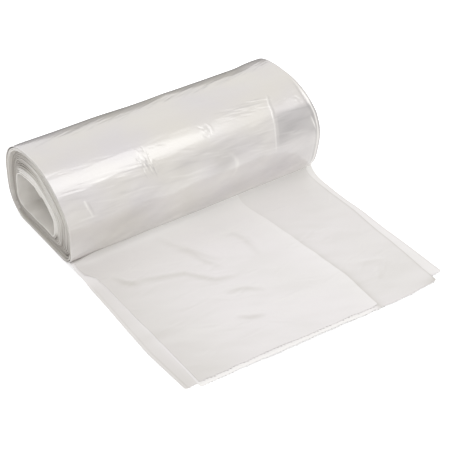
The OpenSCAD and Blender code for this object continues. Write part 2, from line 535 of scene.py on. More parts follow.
def crease(u, v, start, end, width, height, sharp=False):
    """The height of a ridge along the line from start to end, which fades toward both ends."""
    (u0, v0), (u1, v1) = start, end
    length = math.hypot(u1 - u0, v1 - v0)
    along = ((u - u0) * (u1 - u0) + (v - v0) * (v1 - v0)) / length ** 2
    off = ((u - u0) * (v1 - v0) - (v - v0) * (u1 - u0)) / length
    fade = np.clip(1 - (2 * along - 1) ** 2, 0, 1) ** (0.5 if sharp else 1)
    return height * fade * bump(off, 0, width)


def wrinkle(u, v, path, width, height):
    """The height of a ridge that follows a path of points and fades toward both ends."""
    nearest = np.full_like(u, np.inf)
    reached = np.zeros_like(u)
    gone = 0
    for (u0, v0), (u1, v1) in zip(path, path[1:]):
        length = math.hypot(u1 - u0, v1 - v0)
        t = np.clip(((u - u0) * (u1 - u0) + (v - v0) * (v1 - v0)) / length ** 2, 0, 1)
        off = np.hypot(u - mix(u0, u1, t), v - mix(v0, v1, t))
        reached = np.where(off < nearest, gone + t * length, reached)
        nearest = np.minimum(nearest, off)
        gone += length
    fade = 1 - (2 * np.clip(reached / gone, 0, 1) - 1) ** 2
    return height * fade * bump(nearest, 0, width)


def cluster(u, v, seed, count, centre, spread, slant, slant_spread, length, width, height):
    """Short random creases round a centre. slant is 0 along u and 90 along v."""
    draw = np.random.default_rng(seed)
    total = np.zeros_like(u)
    for _ in range(count):
        mid_u = centre[0] + draw.uniform(-1, 1) * spread[0]
        mid_v = centre[1] + draw.uniform(-1, 1) * spread[1]
        turn = math.radians(slant + draw.uniform(-1, 1) * slant_spread)
        half = draw.uniform(*length) / 2
        step_u, step_v = half * math.cos(turn), half * math.sin(turn)
        total += crease(u, v, (mid_u - step_u, mid_v - step_v), (mid_u + step_u, mid_v + step_v),
                        draw.uniform(*width), draw.uniform(*height) * draw.choice((-1, 1)))
    return total


print("noise sample:", round(float(soft_noise(np.array(0.5), np.array(0.5), 1)), 3))

# %% [markdown]
# ## The outermost turn
# This is the film that the light falls on: a band one turn long, which starts where the loose
# end runs into the roll and passes up the back, over the top and down the front. It is drawn as
# a grid, finer on the side toward the camera, and every point is pushed along its own normal.
# Slack film makes long low ripples along the roll, short crinkles where two ripples meet, one
# crease round the roll near its right end, and a fine feathering along the back of the crest.

# %% The outermost turn: its smooth shape
TURN_ROWS, TURN_COLUMNS = 397, 233
TURN_WALL = 0.7
TURN_OVERLAP = 25
# The rows are finer on the side toward the camera.
FINE_ROWS = [(130, 88, 2.4)]
# The columns are finer at both edges and, from left to right, at the nick, at the two breaks of
# the bright band and at the crease round the roll.
FINE_COLUMNS = [(0, 0.02, 1.5), (0.085, 0.02, 1.5), (0.33, 0.045, 3), (0.59, 0.03, 2),
                (0.83, 0.045, 2), (1, 0.04, 2.5)]
turn_angle = uneven_steps(LAP_ANGLE, LAP_ANGLE + 360 + TURN_OVERLAP, TURN_ROWS, FINE_ROWS)
turn_k = uneven_steps(0, 1, TURN_COLUMNS, FINE_COLUMNS)
angle, k = np.meshgrid(turn_angle, turn_k, indexing="ij")
turn_share = (TURNS - (angle - LAP_ANGLE) / 360 + FILM_SHARE) * PITCH
y, z = wound_point(angle, k, turn_share)
# The right end leans inward toward the foot, because the turns have slid over each other. Above
# that lean its rim flares a little.
RIGHT_SLIP, RIGHT_SLIP_BEND = 6.2, 1.3
RIGHT_SLIP_HEIGHT = 66
RIM_FLARE = 0.8
LEANS_BETWEEN = (60, 90)
leaning = RIGHT_SLIP * (1 - np.clip(z / RIGHT_SLIP_HEIGHT, 0, 1) ** RIGHT_SLIP_BEND)
leaning *= soft_step(angle, *LEANS_BETWEEN)
# Both edges slip inward where the turn's inner end runs under the roll, so it stays out of sight.
EDGE_SLIP = 1.2
RUNS_UNDER_BETWEEN = (235, 262)
slip = EDGE_SLIP * soft_step(angle, *RUNS_UNDER_BETWEEN)
right_edge = ROLL_W / 2 + RIM_FLARE - np.maximum(slip, leaning)
x = mix(slip - ROLL_W / 2, right_edge, k)
smooth_turn = np.stack([x, y, z], axis=-1)
down = np.gradient(smooth_turn, axis=0)
right = np.gradient(smooth_turn, axis=1)
turn_normal = np.cross(right, down)
turn_normal /= np.linalg.norm(turn_normal, axis=-1, keepdims=True)
outward = np.stack([0 * x, y - mix(LEFT_END["crest"], RIGHT_END["crest"], k),
                    z - mix(LEFT_END["belly"], RIGHT_END["belly"], k)], axis=-1)
turn_normal *= np.sign((turn_normal * outward).sum(-1, keepdims=True))
# Bearing: the angle of a point seen from the middle of the section, and its length round the roll.
MIDDLE_LEFT, MIDDLE_RIGHT = (6.5, 38), (-5.5, 43)
bearing = np.degrees(np.arctan2(z - mix(MIDDLE_LEFT[1], MIDDLE_RIGHT[1], k),
                                y - mix(MIDDLE_LEFT[0], MIDDLE_RIGHT[0], k))) % 360
MM_PER_DEGREE = 0.84
row_steps = np.diff(turn_angle)
print("rows every", row_steps.min().round(2), "to", row_steps.max().round(2), "degrees")

# %% [markdown]
# ### Its waves
# Slack film stands off the turns under it in soft waves. Each is a noise that is stretched along
# the roll, so the light on it breaks into long streaks. They are low on the crest, where the
# film is drawn tight, and higher on the front, where it hangs.

# %% The outermost turn: its waves
round_way = bearing * MM_PER_DEGREE
# Stretches along the roll (x) or round it (bearing), for plateau or soft_step.
SAG_ALONG, SAG_ROUND = (-50, 0, 96, 118), (12, 36, 64, 98)
CREST_ROUND = (20, 45, 62, 90)
RIPPLES_GROW, FRONT_HANGS = (150, 175), (150, 178)
# A soft patch: its strength, the middle and half its length along the roll, and the same round it.
CREST_BULGE = (0.7, 22, 13, 46, 9)
CREST_SAG, CREST_WAVE = 1.4, 0.5


def turn_waves(*waves):
    """Soft waves on the turn.

    Each is (height, length along the roll, shift, lean, length round the roll, seed).
    """
    return sum(height * soft_noise(x / along + shift, (round_way + lean * x) / around, seed)
               for height, along, shift, lean, around, seed in waves)


def patch(strength, x_middle, x_half, middle, half):
    """A soft patch on the turn."""
    return strength * bump(x, x_middle, x_half) * bump(bearing, middle, half)


push = turn_waves((0.25, 70, 0, 0, 40, 14))
ripples = turn_waves(
    (0.055, 80, 5, 0.07, 9, 11), (0.040, 40, 9, -0.10, 4.5, 12),
    (0.028, 26, 3, 0.07, 2.4, 13), (0.018, 16, 1, 0.15, 1.7, 15))
push += ripples * (1 + 2 * soft_step(bearing, *RIPPLES_GROW))
hanging = turn_waves((0.3, 26, 4, 0.3, 13, 18), (0.08, 14, 6, 0.4, 5, 19))
push += hanging * soft_step(bearing, *FRONT_HANGS)

# The crest isn't quite straight: it sags in its right half, with a small bulge in the sag.
push -= CREST_SAG * plateau(x, *SAG_ALONG) * plateau(bearing, *SAG_ROUND)
push += patch(*CREST_BULGE)
push += turn_waves((CREST_WAVE, 38, 7, 0, 60, 17)) * plateau(bearing, *CREST_ROUND)
print("waves push from", round(float(push.min()), 2), "to", round(float(push.max()), 2), "mm")

# %% [markdown]
# ### Its creases
# Places are given as the distance along the roll from its middle, in millimetres, and the
# bearing in degrees. They were read off the photograph one crease at a time. The small strokes
# of a cluster needn't match one by one, so a seeded random draw spreads them.

# %% The outermost turn: its creases
def turn_crease(start, end, width, height, sharp=False):
    """A single crease between two places, each given as x and bearing."""
    return crease(x, round_way, (start[0], start[1] * MM_PER_DEGREE), (end[0], end[1] * MM_PER_DEGREE),
                  width, height, sharp)


def turn_cluster(seed, count, centre, spread, *rest):
    """Short random creases round a centre, given as x and bearing."""
    return cluster(x, round_way, seed, count, (centre[0], centre[1] * MM_PER_DEGREE),
                   (spread[0], spread[1] * MM_PER_DEGREE), *rest)


# Each cluster: its seed, how many creases, its centre, half its extent, their slant and how much
# that varies, and the least and most of their length, width and height.
CRINKLES = [
    # Where the bright band breaks, left of the middle: steep short ones, and some flat ones.
    (21, 30, (-40, 138), (7, 11), 80, 22, (4, 13), (0.6, 0.9), (0.08, 0.24)),
    (29, 14, (-30, 133), (10, 5), 12, 16, (8, 20), (0.6, 1.0), (0.04, 0.12)),
    # A smaller break right of the middle.
    (22, 18, (22, 131), (7, 6), 62, 35, (4, 11), (0.6, 0.9), (0.07, 0.19)),
    # Fine ones that fan in from the left to the crease round the roll.
    (23, 36, (66, 123), (20, 9), 10, 12, (10, 28), (0.6, 0.9), (0.08, 0.2)),
    (30, 16, (103, 128), (12, 10), -14, 14, (8, 22), (0.6, 1.0), (0.04, 0.12)),
    # Feathering along the back of the crest.
    (24, 90, (40, 60), (82, 8), -18, 8, (7, 22), (0.5, 0.9), (0.04, 0.12)),
    (25, 40, (-80, 59), (40, 6), -14, 8, (8, 22), (0.5, 0.9), (0.03, 0.1)),
    # Thin ones below and above the band at its left.
    (26, 46, (-75, 147), (45, 7), 4, 7, (14, 40), (0.5, 0.9), (0.02, 0.06)),
    (31, 30, (-80, 124), (45, 6), 5, 7, (14, 36), (0.5, 0.9), (0.02, 0.05)),
    # Wider ones on the front.
    (27, 22, (40, 150), (70, 12), 8, 14, (10, 30), (0.8, 1.5), (0.03, 0.1)),
    (28, 14, (-20, 190), (95, 16), 15, 30, (12, 34), (1.2, 2.4), (0.04, 0.14))]
# The nick near the left end is two strokes, each with a start and an end.
NICK_TOP, NICK_FOOT = ((-105, 157), (-104, 166)), ((-104, 163), (-101.5, 174))
# Single creases: start, end, width, height, and whether they end abruptly.
SINGLE_CREASES = [
    # The longest line in the left break of the band, and one above the band at its left.
    ((-40.5, 138), (-41.5, 152), 0.8, 0.3, True),
    ((-118, 127), (-42, 121), 1.3, 0.09, True),
    (*NICK_TOP, 1.0, 0.5, True),
    (*NICK_FOOT, 0.8, -0.35, False)]
push += sum(turn_cluster(*crinkles) for crinkles in CRINKLES)
push += sum(turn_crease(*one) for one in SINGLE_CREASES)

# The longest feathers start low on the left and run up to the right over the crest.
FEATHERS = [(-116, 66), (-84, 62), (-66, 59), (-40, 56), (-16, 61), (11, 63), (37, 67), (62, 67), (90, 60)]
FEATHER_REACH, FEATHER_CLIMB = 42, 14
FEATHER_WIDTH, FEATHER_HEIGHT, FEATHER_SHADE = 1.2, 0.12, 0.25
feathers = sum(
    turn_crease(start, (start[0] + FEATHER_REACH, start[1] - FEATHER_CLIMB), FEATHER_WIDTH, 1, True)
    for start in FEATHERS)
push += FEATHER_HEIGHT * feathers

# The crease round the roll near its right end, with a small step down to its right.
RING_BEARINGS = (60, 100, 118.6, 128, 137, 145, 158.6, 169.6, 190, 215)
RING_PLACES = (92, 92, 90.6, 88, 87, 84.7, 80.8, 77.9, 74, 70)
RING_WIDTH, RING_HEIGHT = 0.6, 0.2
RING_STEP, STEP_ALONG = 0.4, (0, 2, 12, 34)
RING_ROUND = (112, 122, 164, 180)
from_ring = x - np.interp(bearing, RING_BEARINGS, RING_PLACES)
ring_fade = plateau(bearing, *RING_ROUND)
ring_line = ring_fade * bump(from_ring, 0, RING_WIDTH)
push += RING_HEIGHT * ring_line
push -= RING_STEP * ring_fade * plateau(from_ring, *STEP_ALONG)

# The right edge is gathered, with a groove a little inside it.
GATHERED_FROM = (96, 132)
GROOVE_INSET, GROOVE_WIDTH, GROOVE_DEPTH = 4.2, 1.5, 0.3
inset = (1 - k) * ROLL_W
gathered = soft_step(bearing, *GATHERED_FROM)
push -= GROOVE_DEPTH * gathered * bump(inset, GROOVE_INSET, GROOVE_WIDTH)
print("creases:", sum(crinkles[1] for crinkles in CRINKLES) + len(SINGLE_CREASES) + len(FEATHERS))

# %% [markdown]
# ### Its painted light and shade
# A crease gets a painted highlight along it and a dark line of painted shade beside it, because the
# light here is so even that the shape of a crease alone hardly shows. Other places get painted
# light and shade as well. So two numbers are kept for each point, pale and shade, and the film's
# material mixes in a lighter or a darker tone by them.

# %% The outermost turn: its tones
# Clusters and single creases as above, where a height above nothing is a painted highlight and
# one below painted shade.
MARKS = [
    # Steep ones in the two breaks of the band.
    (61, 34, (-41, 141), (5, 13), 82, 13, (5, 15), (0.5, 0.8), (0.25, 0.6)),
    (62, 16, (22, 132), (5, 7), 70, 25, (4, 11), (0.5, 0.8), (0.15, 0.4)),
    # Flat ones that fan in to the crease round the roll.
    (63, 30, (64, 122), (20, 8), 9, 10, (10, 30), (0.5, 0.8), (0.15, 0.4)),
    # Long fine ones along the front, and below the band at its left.
    (64, 90, (0, 158), (115, 16), 4, 9, (10, 40), (0.5, 0.9), (0.08, 0.22)),
    (65, 40, (-75, 146), (45, 8), 4, 6, (14, 40), (0.5, 0.8), (0.1, 0.3))]
NICK_MARKS = [
    (*NICK_TOP, 0.9, 0.7, True),
    (*NICK_FOOT, 0.9, 0.4, False),
    ((-102.5, 158), (-100, 172), 0.9, -0.5, False)]
CREST_STROKES = (66, 70, (20, 59), (105, 7), -18, 8, (8, 26), (0.5, 1.0), (0.1, 0.3))
RIM_CREASES = (32, 5, (116, 134), (2, 4), 60, 20, (3, 6), (0.6, 0.9), (0.15, 0.3))
# Patches, as for the bulge of the crest.
DARK_PATCH, PALE_PATCH = (0.4, 25, 10, 172, 8), (0.16, -42, 22, 190, 10)
# Stretches along the roll or round it.
RIGHT_SHADE_ROUND, MIDDLE_SHADE_ALONG = (138, 146, 162, 178), (-50, 0, 62, 80)
SLACK_FROM, CONTACT_ROUND = (142, 158), (190, 210, 222, 236)
marks = sum(turn_cluster(*one) for one in MARKS) + sum(turn_crease(*one) for one in NICK_MARKS)
pale = np.clip(marks, 0, 1)
shade = 0.7 * np.clip(-marks, 0, 1)
# Painted shade along the feathers and in dark strokes on the back of the crest: a painted copy of the dark
# that the crest mirrors.
shade += FEATHER_SHADE * feathers + np.abs(turn_cluster(*CREST_STROKES))

# The crease round the roll: a painted highlight on it and painted shade beside it. Between it
# and the edge, below the bright band, painted shade makes the film darker.
pale += 0.4 * ring_line
shade += 0.3 * ring_fade * bump(from_ring, 2, 0.9)
shade += 0.68 * soft_step(from_ring, 1.5, 5) * plateau(bearing, *RIGHT_SHADE_ROUND)
# Painted highlight: the film in the bright band is a little paler, except toward the right.
pale += 0.22 * bump(bearing, 135, 8) * (1 - soft_step(x, 25, 60))
# A dark patch below the band, with a pale arc at its right.
ARC_X, ARC_BEARING, ARC_BEND = 38, 172, 6
shade += patch(*DARK_PATCH)
arc_x = ARC_X - ARC_BEND * ((bearing - ARC_BEARING) / 12) ** 2
pale += patch(0.4, arc_x, 1.6, ARC_BEARING, 9)
# The slack film on the front clings in some places and stands off in others.
darkening = turn_waves((0.6, 30, 2, 0.2, 8, 51), (0.5, 12, 7, 0.2, 3.5, 52))
darkening *= soft_step(bearing, *SLACK_FROM)
shade += 0.26 * np.clip(darkening, 0, 1)
pale += 0.2 * np.clip(-darkening, 0, 1)

# At the right rim: painted shade on the edge, then a thin painted highlight, then painted shade
# in the groove.
shade += (0.4 + 0.5 * gathered) * bump(inset, 0, 0.9)
shade += 0.4 * gathered * bump(inset, GROOVE_INSET, 1.3)
pale += gathered * bump(inset, 2.2, 0.6)
# Beside it stand a few small creases, and one more is drawn only as a painted highlight.
push += turn_cluster(*RIM_CREASES)
pale += turn_crease((119, 154), (120.5, 170), 0.7, 0.8)
# Painted shade: a broad darker stretch in the middle of the front.
shade += 0.2 * bump(bearing, 157, 9) * plateau(x, *MIDDLE_SHADE_ALONG)
# Painted light low on the front, which stands in for light that has passed through the loose film
# and comes out again.
pale += 0.35 * soft_step(bearing, 170, 200) * (1 - soft_step(z, 6, 34))
glow_width = soft_step(x, -70, -20) * (1 - 0.5 * soft_step(x, 45, 80))
pale += 0.35 * bump(bearing, 182, 11) * glow_width
pale += patch(*PALE_PATCH)
# Painted shade where the loose film leaves the roll, most of all left of the middle, where less
# light gets in.
shade += 0.45 * plateau(bearing, *CONTACT_ROUND) * plateau(x, -124, -92, 0, 60)

# The foot stays flat, because the roll's weight presses it there.
push *= soft_step(z, 2, 14)
turn_points = smooth_turn + turn_normal * push[..., None]
outer_turn = closed_film("outer_turn", turn_points, TURN_WALL, wound_film_skin,
                         shade=np.clip(shade, 0, 1), pale=np.clip(pale, 0, 1))
print("creases push from", round(float(push.min()), 2), "to", round(float(push.max()), 2), "mm")

# %% [markdown]
# ## The inner turns
# At each end of the roll the turns show as thin, slightly uneven lines round the hollow. Their
# shape follows a rule, so geometry nodes wind them: a flat grid is bent so that its rows follow
# the spiral, and each row samples four guide outlines, the hollow and the outside at each end.
# The first half of a grid row is the film's inner face and the second half its outer face, so
# welding the first and the last column makes a closed band. A noise moves the film in and out
# at the ends, because no winder keeps its edges in line, and the innermost turns crumple.

# %% Helpers for geometry trees
def new_rule(name, whole_numbers, numbers):
    """An empty geometry tree, and its inputs by name: a guide, the given numbers and a film."""
    tree = bpy.data.node_groups.new(name, "GeometryNodeTree")
    kinds = {"Guide": "Geometry", **dict.fromkeys(whole_numbers, "Int"),
             **dict.fromkeys(numbers, "Float"), "Film": "Material"}
    for label, kind in kinds.items():
        tree.interface.new_socket(label, in_out="INPUT", socket_type="NodeSocket" + kind)
    tree.interface.new_socket("Geometry", in_out="OUTPUT", socket_type="NodeSocketGeometry")
    given = add(tree, "NodeGroupInput").outputs
    return tree, {label: Number(given[label]) for label in kinds}


def end_rule(tree, geometry, film_skin):
    """Every tree ends alike: its geometry is made real and gets its material."""
    real = add(tree, "GeometryNodeRealizeInstances", {"Geometry": geometry})
    dressed = add(tree, "GeometryNodeSetMaterial", {"Geometry": real.outputs[0], "Material": film_skin})
    add(tree, "NodeGroupOutput", {0: dressed.outputs[0]})
    return tree


def run_tree(name, guide, edges, tree, values):
    """Give a guide in millimetres to a geometry tree, set its inputs, and keep the plain mesh."""
    mesh = bpy.data.meshes.new(name)
    mesh.from_pydata((np.asarray(guide) * MM).tolist(), edges, [])
    piece = bpy.data.objects.new(name, mesh)
    bpy.context.collection.objects.link(piece)
    rule = piece.modifiers.new("rule", "NODES")
    rule.node_group = tree
    for socket in tree.interface.items_tree:
        if socket.in_out == "INPUT" and socket.name in values:
            rule[socket.identifier] = values[socket.name]
    bake_modifiers(piece)
    piece.data.shade_smooth()
    return piece


print("trees get a guide, numbers and a material, and give back a plain mesh")

# %% A tree that winds film
FACETS = 90
STATIONS = 24
# Round the back of the crest the turns lie loose, most of all at this angle.
LOOSE_ANGLE = math.radians(52)
# The crumpled turns next to the hollow, how little the last ones move, and the folds per metre.
CRUMPLED_TURNS, LEAST_CRUMPLE, FOLDS = 9.0, 0.1, 38.0
# Shares of the paler tone, which is painted light on all but the faint stripes: on the film that
# lines the hollow, before and after the glow is added, on the turns next to the hollow, on the
# rim's back and on the faint stripes.
LINING_PALE, LINING_GLOW, HOLLOW_PALE, RIM_PALE, STRIPE_PALE = 0.74, 0.26, 0.72, 0.6, 0.3
# Shares of the darker tone, which is painted shade: where the turns lie tight, how much of it the
# rim is spared, and in the gaps of air low on the front.
BACK_AND_UNDER_SHADE, RIM_SPARED, SLIT_DARK = 0.72, 0.85, 0.75


def wind_tree():
    """Geometry nodes that wind a closed film band round four guide outlines."""
    tree, given = new_rule("wind_film", ("Facets", "Stations"), (
        "Turns", "Film share", "Width", "Slip height", "Recess", "Sunk", "Right slip", "Slip bend",
        "Wander", "Crumple", "Pale turns", "Rim turns", "Seed"))

    def noise(place, detail):
        return Number(add(tree, "ShaderNodeTexNoise", {"W": place, "Scale": 1.0, "Detail": detail},
                          noise_dimensions="1D").outputs[0])

    def vector(operation, inputs):
        return add(tree, "ShaderNodeVectorMath", inputs, operation=operation).outputs[0]

    def blend(factor, a, b):
        return add(tree, "ShaderNodeMix", {0: factor, 4: a, 5: b}, data_type="VECTOR").outputs[1]

    def store(geometry, name, value):
        return add(tree, "GeometryNodeStoreNamedAttribute",
                   {"Geometry": geometry, "Name": name, "Value": value},
                   data_type="FLOAT", domain="POINT").outputs[0]

    # Rows run inward along the film, from one turn inside its end to the hollow.
    inner_turns = given["Turns"] - 1.0
    rows = calc("ROUND", inner_turns * given["Facets"])
    columns = given["Stations"] * 2.0 + 1.0
    grid = add(tree, "GeometryNodeMeshGrid", {"Vertices X": rows + 1.0, "Vertices Y": columns})
    index = Number(add(tree, "GeometryNodeInputIndex").outputs[0])
    row = calc("FLOOR", (index + 0.5) / columns)
    column = index - row * columns
    turn = inner_turns - row / given["Facets"]

    # Columns go along the inner face and back along the outer one; the last one is the first again.
    there = calc("LESS_THAN", column, given["Stations"] - 0.5)
    closing = calc("GREATER_THAN", column, columns - 1.5)
    station = (column * there + (columns - 2.0 - column) * (1.0 - there)) * (1.0 - closing)
    # Stations lie closer together at the ends, where the crumpled film is seen.
    way = station / (given["Stations"] - 1.0)
    along = 0.5 - calc("COSINE", way * math.pi) * 0.5
    outer = (1.0 - there) * (1.0 - closing)

    # The rim is the outermost of these turns. The ones between it and the pale turns next to the
    # hollow lie loose at the back of the crest.
    spot = calc("MODULO", row, given["Facets"])
    around = spot / given["Facets"] * (2 * math.pi) + math.radians(LAP_ANGLE)
    upward, backward = calc("SINE", around), calc("COSINE", around)
    behind_crest = calc("MAXIMUM", calc("COSINE", around - LOOSE_ANGLE), 0.0)
    rim = rise(turn, inner_turns - (given["Rim turns"] + 1.0), inner_turns - given["Rim turns"])
    outer_half = rise(turn, given["Pale turns"], given["Pale turns"] + 1.5) * (1.0 - rim)
    gaping = outer_half * (behind_crest * behind_crest)

    # The band closes to a thin edge at its two ends, and the innermost turns are thinner.
    taper = calc("MINIMUM", calc("MINIMUM", row, rows - row) / 2.0, 1.0)
    depth = (outer - 0.5) * taper + 0.5
    snug = calc("MINIMUM", turn / 10.0 + 0.8, 1.0)
    slack = noise(turn * 0.9, 1.0)
    fill = given["Film share"] * snug * (1.35 - slack * 0.6 - gaping * 0.06)
    share = (turn + calc("MINIMUM", fill, 0.94) * depth) / (given["Turns"] + given["Film share"])

    position = add(tree, "GeometryNodeInputPosition").outputs[0]

    def guide_point(number):
        """The point at this place round the section, on one of the four outlines of the guide."""
        place = spot + given["Facets"] * number
        return add(tree, "GeometryNodeSampleIndex",
                   {"Geometry": given["Guide"], "Value": position, "Index": place},
                   data_type="FLOAT_VECTOR", domain="POINT").outputs["Value"]

    hollow = blend(along, guide_point(0.0), guide_point(1.0))
    skin = blend(along, guide_point(2.0), guide_point(3.0))
    section = add(tree, "ShaderNodeSeparateXYZ", {0: blend(share, hollow, skin)}).outputs
    y_place, z_place = Number(section["Y"]), Number(section["Z"])

    # The ends wander in and out as the film was wound. The rim ends almost flush with the edge,
    # and the loose turns have sunk in.
    drift = noise(turn * 1.7 + given["Seed"], 2.0)
    wander = (drift - 0.5) * given["Wander"]
    recess = (given["Recess"] + wander) * (1.0 - rim * 0.8)
    half = given["Width"] * 0.5 - (recess + given["Sunk"] * gaping)
    # The right end leans inward toward the foot.
    rising = calc("MINIMUM", z_place / given["Slip height"], 1.0)
    low = 1.0 - rising ** given["Slip bend"]
    x_place = (along * 2.0 - 1.0) * half - given["Right slip"] * low * along
    point = add(tree, "ShaderNodeCombineXYZ", {0: x_place, 1: y_place, 2: z_place}).outputs[0]

    # Crumple: a soft noise that moves neighbouring turns nearly alike, dies out from the hollow
    # outward, and is weaker at the ends, where the rims hold each other.
    folds = add(tree, "ShaderNodeTexNoise",
                {"Vector": point, "Scale": FOLDS, "Detail": 3.0}).outputs["Color"]
    centred = vector("SUBTRACT", {0: folds, 1: (0.5, 0.5, 0.5)})
    loose = calc("MAXIMUM", 1.0 - turn / CRUMPLED_TURNS, LEAST_CRUMPLE) ** 1.5
    from_end = calc("MINIMUM", along, 1.0 - along) * given["Width"]
    held = rise(from_end, 1 * MM, 14 * MM) * 0.7 + 0.3
    shove = vector("SCALE", {0: centred, "Scale": given["Crumple"] * loose * held})
    final = vector("ADD", {0: point, 1: shove})
    bent = add(tree, "GeometryNodeSetPosition", {"Geometry": grid.outputs["Mesh"], "Position": final})

    # Painted light on the turns next to the hollow, over the top and down the front, where they catch
    # the light, and on the back of the rim. The ones outside them get painted shade, as if in the
    # shade of the rim, and only some of them show a paler edge.
    stripes = noise(turn * 0.8 + given["Seed"], 3.0)
    faint = Number(add(tree, "ShaderNodeMapRange", {
        "Value": stripes, "From Min": 0.4, "From Max": 0.7, "To Max": STRIPE_PALE}).outputs[0])
    lit_side = rise(z_place - y_place * 0.5, 19 * MM, 25 * MM)
    near_hollow = 1.0 - rise(turn, given["Pale turns"] - 0.6, given["Pale turns"])
    back_rim = rim * (rise(y_place, 25 * MM, 40 * MM) * rise(z_place, 6 * MM, 16 * MM))
    # Painted light on the film that lines the hollow, more of it further in, which stands in for
    # light that comes through the turns.
    patches = Number(add(tree, "ShaderNodeSeparateXYZ", {0: folds}).outputs["X"])
    glowing = calc("MAXIMUM", rise(patches, 0.45, 0.56) * 0.6, rise(from_end, 8 * MM, 45 * MM))
    lining = calc("LESS_THAN", turn, 1.2) * (glowing * LINING_GLOW + LINING_PALE)
    pale = calc("MAXIMUM", calc("MAXIMUM", lining, back_rim * RIM_PALE),
                near_hollow * lit_side * HOLLOW_PALE)
    # Painted shade round the back and under the hollow, where the turns lie tight and little light
    # gets out.
    shaded_side = calc("MAXIMUM", rise(backward, -0.05, 0.35), rise(upward, 0.1, -0.4))
    dark = shaded_side * (BACK_AND_UNDER_SHADE - faint) * (1.0 - rim * RIM_SPARED)
    # Painted shade low on the front: dark lines that stand for gaps of air between some of the turns.
    low_front = rise(upward, 0.4, -0.2) * rise(backward, 0.0, -0.3)
    between = (1.0 - near_hollow) * (1.0 - rim)
    slit_shade = rise(stripes, 0.54, 0.4) * SLIT_DARK * (low_front * between)

    shaded = store(bent.outputs[0], "shade", calc("MAXIMUM", dark, slit_shade))
    toned = store(shaded, "tone", calc("MAXIMUM", faint, pale))
    welded = add(tree, "GeometryNodeMergeByDistance", {"Geometry": toned, "Distance": 0.00001})
    # The grid's upper side has come to lie inside, so its faces are turned over.
    turned = add(tree, "GeometryNodeFlipFaces", {"Mesh": welded.outputs[0]})
    return end_rule(tree, turned.outputs[0], given["Film"])


# %% Wind the inner turns
facet_angles = LAP_ANGLE + 360 * np.arange(FACETS) / FACETS
guide = []
for rule in (inside, outside):
    for end in (LEFT_END, RIGHT_END):
        guide += [(0, a, b) for a, b in zip(*rule(facet_angles, end))]
wound_turns = run_tree("wound_turns", guide, [], wind_tree(), {
    "Facets": FACETS, "Stations": STATIONS, "Turns": TURNS, "Film share": FILM_SHARE,
    "Width": ROLL_W * MM, "Slip height": RIGHT_SLIP_HEIGHT * MM, "Recess": END_RECESS * MM,
    "Sunk": 1.5 * MM, "Right slip": RIGHT_SLIP * MM, "Slip bend": RIGHT_SLIP_BEND, "Wander": 2.4 * MM,
    "Crumple": 11 * MM, "Pale turns": 3.5, "Rim turns": 1.2, "Seed": 3.0, "Film": turn_edge_skin})
print("inner turns:", len(wound_turns.data.polygons), "faces,",
      [round(d / MM, 1) for d in wound_turns.dimensions], "mm")

# %% [markdown]
# ## The loose end
# The last sack lies flat on the table in stepped layers: a wide one at the bottom, a narrower
# one on it, and a panel on top whose right side is a fold. Each is a grid between a left, a
# right and a front edge that were measured from the photograph. One shared field of soft waves
# lifts all three, so they stay on each other and never cross.

# %% Sheets of the loose end
SHEET_BACK = 14
LAYER_STEP = 0.2
SHEET_WALL = 0.18
SHEET_ROWS, SHEET_COLUMNS = 181, 201
# The film is free this far in front of the middle of the foot, and its waves reach their full
# height at the second number. They die out toward the sides.
FREE_FROM, FULL_FROM = 48, 90
SIDE_X, SIDE_CALM = 128, 30
# The middle height of the waves, which keeps the film above the table.
WAVE_LIFT = 1.4
WRINKLE_WIDTH, WRINKLE_HEIGHT = 2.9, 0.6
FOLD_CONTRAST = 1.3
# The curve in which the film springs off the roll: where it starts and where it is highest, its
# height at the left and further right, and how soon it comes down.
SPRING_START, SPRING_CREST, SPRING_DROP = 32, 47, 5.5
SPRING_LEFT, SPRING_RIGHT = 4.5, 7.5
# The painted light that comes out of the loose film beside the roll fades over this distance.
ROLL_FRONT, GLOW_FADE = 46, 18
# The fold at the right of the top panel, as places y, x.
FOLD_LINE = [(-51, 43.8), (-100, 48.8), (-145, 53.6), (-187, 57), (-230, 55.5)]
# Long soft wrinkles of the top panel, as paths of points x, y.
WRINKLES = [
    [(-45, -51), (-38, -67), (-30, -83), (-22, -101), (-14, -111)],
    [(-42, -70), (-32, -86), (-28, -103), (-19, -119)],
    [(-93, -92), (-81, -96), (-67, -101), (-51, -107), (-43, -117), (-34, -127), (-18, -132), (-5, -131)],
    [(-104, -75), (-98, -89), (-88, -99)],
    [(0, -84), (13, -85), (17, -97), (16, -110), (15, -122)],
    [(-38, -144), (-20, -150), (-6, -162)],
    [(-48, -175), (-39, -183), (-25, -188)],
    [(73, -178), (86, -182), (100, -188)],
    [(86, -191), (78, -205)]]


def wrinkled(x, y):
    """How much of a wrinkle there is at each point, from 0 to 1."""
    return sum(wrinkle(x, y, path, WRINKLE_WIDTH, 1) for path in WRINKLES)


def edge_x(y, edge):
    """Where an edge, given as places y, x from the roll forward, lies at some y."""
    return np.interp(-y, [-p[0] for p in edge], [p[1] for p in edge])


